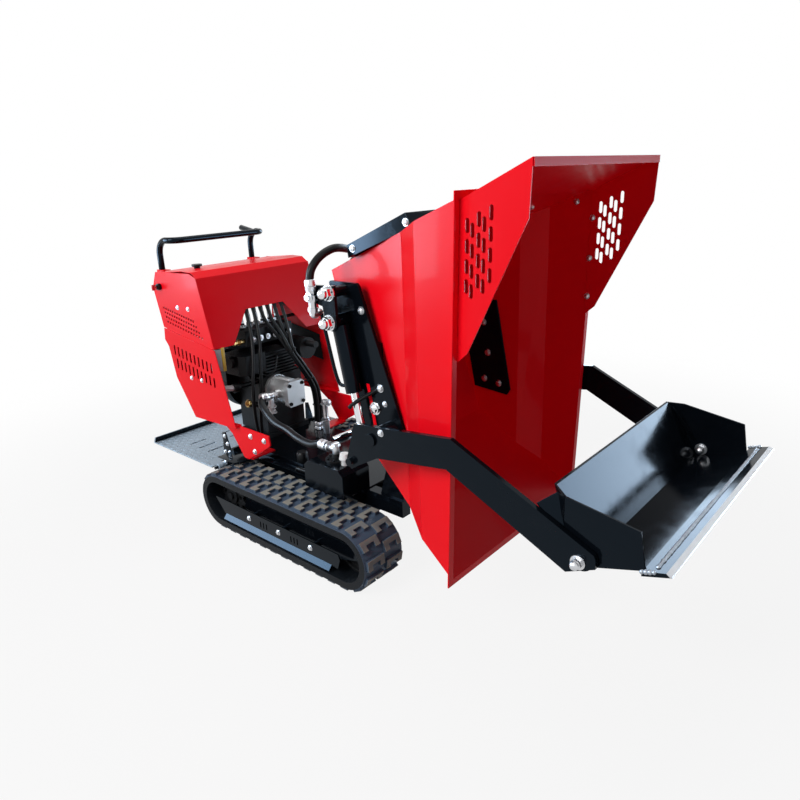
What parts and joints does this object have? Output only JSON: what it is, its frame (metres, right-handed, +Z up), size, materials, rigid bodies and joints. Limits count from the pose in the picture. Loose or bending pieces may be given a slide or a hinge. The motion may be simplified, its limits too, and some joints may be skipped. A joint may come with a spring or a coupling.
{
  "type": "tracked power carrier",
  "caption": "Walk-behind tracked mini dumper with a forward-tipping skip, slotted spill guard, self-loading shovel on lift arms, rear engine console and folding foot platform",
  "frame": {"origin": "ground level under the middle of the overall length and width, with the skip tipped as stored", "axes": "+X forward towards the shovel, +Y to the machine's left, +Z up"},
  "size_m": [2.354, 0.85, 1.331],
  "materials": {
    "red_paint": "gloss",
    "black_paint": "gloss",
    "track_rubber": "matt",
    "hose_rubber": "satin",
    "plain_steel": "satin",
    "chromed_rod": "polished",
    "cast_iron": "rough",
    "black_plastic": "matt",
    "white_plastic": "gloss",
    "tread_plate": "embossed",
    "pump_alloy": "cast",
    "red_plastic": "gloss"
  },
  "bodies": {
    "chassis": {"chassis_frame": "black_paint", "track_frames": "black_paint", "track_guards": "black_paint", "track_belt_right": "track_rubber", "track_belt_left": "track_rubber", "drive_motors": "cast_iron", "hydraulic_tank": "black_paint", "tank_cover": "black_plastic", "breather_cap": "white_plastic", "engine_block": "cast_iron", "engine_shroud": "black_plastic", "fuel_tank": "black_plastic", "muffler": "plain_steel", "air_cleaner": "black_plastic", "gear_pump": "pump_alloy", "hydraulic_fittings": "plain_steel", "control_valve": "cast_iron", "upper_panels": "red_paint", "lower_panels": "red_paint", "front_cover": "red_paint", "console_top": "red_paint", "console_brackets": "red_paint", "handlebar": "black_paint", "isolator_body": "black_plastic", "platform_hinge": "black_paint", "bumpers": "hose_rubber", "chassis_hoses": "hose_rubber", "skip_shaft": "plain_steel"},
    "drive_wheel_right": {"sprocket_right": "cast_iron"},
    "front_wheel_right": {"idler_right": "cast_iron"},
    "track_roller_right_rear": {"roller_right_rear": "cast_iron"},
    "track_roller_right_middle": {"roller_right_middle": "cast_iron"},
    "track_roller_right_front": {"roller_right_front": "cast_iron"},
    "drive_wheel_left": {"sprocket_left": "cast_iron"},
    "front_wheel_left": {"idler_left": "cast_iron"},
    "track_roller_left_rear": {"roller_left_rear": "cast_iron"},
    "track_roller_left_middle": {"roller_left_middle": "cast_iron"},
    "track_roller_left_front": {"roller_left_front": "cast_iron"},
    "drive_lever_right_arm": {"drive_lever_right": "black_plastic"},
    "drive_lever_left_arm": {"drive_lever_left": "black_plastic"},
    "tip_lever_arm": {"tip_lever": "black_plastic"},
    "shovel_lever_arm": {"shovel_lever": "black_plastic"},
    "button": {"stop_button": "black_plastic"},
    "key": {"isolator_key": "red_plastic"},
    "platform": {"platform_plate": "tread_plate"},
    "skip": {"skip_tub": "red_paint", "spill_guard": "red_paint", "skip_lugs": "black_paint", "lift_frames": "black_paint", "pivot_pins": "plain_steel", "backing_plates": "black_paint", "rear_stiffener": "black_paint", "lift_hoses": "hose_rubber"},
    "shovel": {"arm_plates": "black_paint", "shovel_pan": "black_paint", "cutting_edge": "plain_steel"},
    "lift_tubes": {"lift_barrels": "black_paint"},
    "lift_rams": {"lift_rods": "chromed_rod"},
    "tip_tube": {"tip_barrel": "black_paint"},
    "tip_ram": {"tip_rod": "chromed_rod"}
  },
  "joints": [
    {"name": "sprocket_right_spin", "type": "hinge", "parent": "chassis", "child": "drive_wheel_right", "pos_m": [-0.548, -0.295, 0.117], "axis": [0, 1, 0], "continuous": true},
    {"name": "idler_right_spin", "type": "hinge", "parent": "chassis", "child": "front_wheel_right", "pos_m": [0.138, -0.295, 0.117], "axis": [0, 1, 0], "continuous": true},
    {"name": "roller_right_rear_spin", "type": "hinge", "parent": "chassis", "child": "track_roller_right_rear", "pos_m": [-0.3765, -0.295, 0.0685], "axis": [0, 1, 0], "continuous": true},
    {"name": "roller_right_middle_spin", "type": "hinge", "parent": "chassis", "child": "track_roller_right_middle", "pos_m": [-0.205, -0.295, 0.0685], "axis": [0, 1, 0], "continuous": true},
    {"name": "roller_right_front_spin", "type": "hinge", "parent": "chassis", "child": "track_roller_right_front", "pos_m": [-0.0335, -0.295, 0.0685], "axis": [0, 1, 0], "continuous": true},
    {"name": "sprocket_left_spin", "type": "hinge", "parent": "chassis", "child": "drive_wheel_left", "pos_m": [-0.548, 0.295, 0.117], "axis": [0, 1, 0], "continuous": true},
    {"name": "idler_left_spin", "type": "hinge", "parent": "chassis", "child": "front_wheel_left", "pos_m": [0.138, 0.295, 0.117], "axis": [0, 1, 0], "continuous": true},
    {"name": "roller_left_rear_spin", "type": "hinge", "parent": "chassis", "child": "track_roller_left_rear", "pos_m": [-0.3765, 0.295, 0.0685], "axis": [0, 1, 0], "continuous": true},
    {"name": "roller_left_middle_spin", "type": "hinge", "parent": "chassis", "child": "track_roller_left_middle", "pos_m": [-0.205, 0.295, 0.0685], "axis": [0, 1, 0], "continuous": true},
    {"name": "roller_left_front_spin", "type": "hinge", "parent": "chassis", "child": "track_roller_left_front", "pos_m": [-0.0335, 0.295, 0.0685], "axis": [0, 1, 0], "continuous": true},
    {"name": "drive_lever_right_pull", "type": "hinge", "parent": "chassis", "child": "drive_lever_right_arm", "pos_m": [-0.925, -0.105, 0.862], "axis": [0, 1, 0], "range_deg": [-10, 10], "stiffness_Nm_per_rad": 4},
    {"name": "drive_lever_left_pull", "type": "hinge", "parent": "chassis", "child": "drive_lever_left_arm", "pos_m": [-0.925, -0.035, 0.862], "axis": [0, 1, 0], "range_deg": [-10, 10], "stiffness_Nm_per_rad": 4},
    {"name": "tip_lever_pull", "type": "hinge", "parent": "chassis", "child": "tip_lever_arm", "pos_m": [-0.925, 0.035, 0.862], "axis": [0, 1, 0], "range_deg": [-10, 10], "stiffness_Nm_per_rad": 4},
    {"name": "shovel_lever_pull", "type": "hinge", "parent": "chassis", "child": "shovel_lever_arm", "pos_m": [-0.925, 0.105, 0.862], "axis": [0, 1, 0], "range_deg": [-10, 10], "stiffness_Nm_per_rad": 4},
    {"name": "stop_press", "type": "slide", "parent": "chassis", "child": "button", "axis": [0, 0, -1], "range_m": [0, 0.003], "stiffness_N_per_m": 900},
    {"name": "key_turn", "type": "hinge", "parent": "chassis", "child": "key", "pos_m": [-0.929, -0.33, 0.912], "axis": [0, 1, 0], "range_deg": [0, 90]},
    {"name": "platform_fold", "type": "hinge", "parent": "chassis", "child": "platform", "pos_m": [-0.705, 0, 0.178], "axis": [0, 1, 0], "range_deg": [0, 50]},
    {"name": "skip_tip", "type": "hinge", "parent": "chassis", "child": "skip", "pos_m": [0.195, 0, 0.432], "axis": [0, 1, 0], "range_deg": [-73, 0]},
    {"name": "arm_lift", "type": "hinge", "parent": "skip", "child": "shovel", "pos_m": [0.325, 0, 0.596], "axis": [0, 1, 0], "range_deg": [-40, 37]},
    {"name": "lift_tube_swing", "type": "hinge", "parent": "skip", "child": "lift_tubes", "pos_m": [0.159, 0, 0.909], "axis": [0, 1, 0], "range_deg": [-7, 7]},
    {"name": "lift_ram_slide", "type": "slide", "parent": "lift_tubes", "child": "lift_rams", "axis": [0.2032, 0, -0.9791], "range_m": [-0.063, 0.068]},
    {"name": "tip_tube_swing", "type": "hinge", "parent": "chassis", "child": "tip_tube", "pos_m": [0.14, 0, 0.36], "axis": [0, 1, 0], "range_deg": [-72, 1]},
    {"name": "tip_ram_slide", "type": "slide", "parent": "tip_tube", "child": "tip_ram", "axis": [-0.1908, 0, 0.9816], "range_m": [-0.108, 0.001]}
  ],
  "couplings": [
    {"joint": "idler_right_spin", "follows": "sprocket_right_spin", "ratio": 1},
    {"joint": "roller_right_rear_spin", "follows": "sprocket_right_spin", "ratio": 2.6167},
    {"joint": "roller_right_middle_spin", "follows": "sprocket_right_spin", "ratio": 2.6167},
    {"joint": "roller_right_front_spin", "follows": "sprocket_right_spin", "ratio": 2.6167},
    {"joint": "idler_left_spin", "follows": "sprocket_left_spin", "ratio": 1},
    {"joint": "roller_left_rear_spin", "follows": "sprocket_left_spin", "ratio": 2.6167},
    {"joint": "roller_left_middle_spin", "follows": "sprocket_left_spin", "ratio": 2.6167},
    {"joint": "roller_left_front_spin", "follows": "sprocket_left_spin", "ratio": 2.6167},
    {"joint": "lift_tube_swing", "follows": "arm_lift", "ratio": 0.155},
    {"joint": "lift_ram_slide", "follows": "arm_lift", "m_per_rad": -0.0932},
    {"joint": "tip_tube_swing", "follows": "skip_tip", "ratio": 0.977},
    {"joint": "tip_ram_slide", "follows": "skip_tip", "m_per_rad": 0.0841}
  ]
}
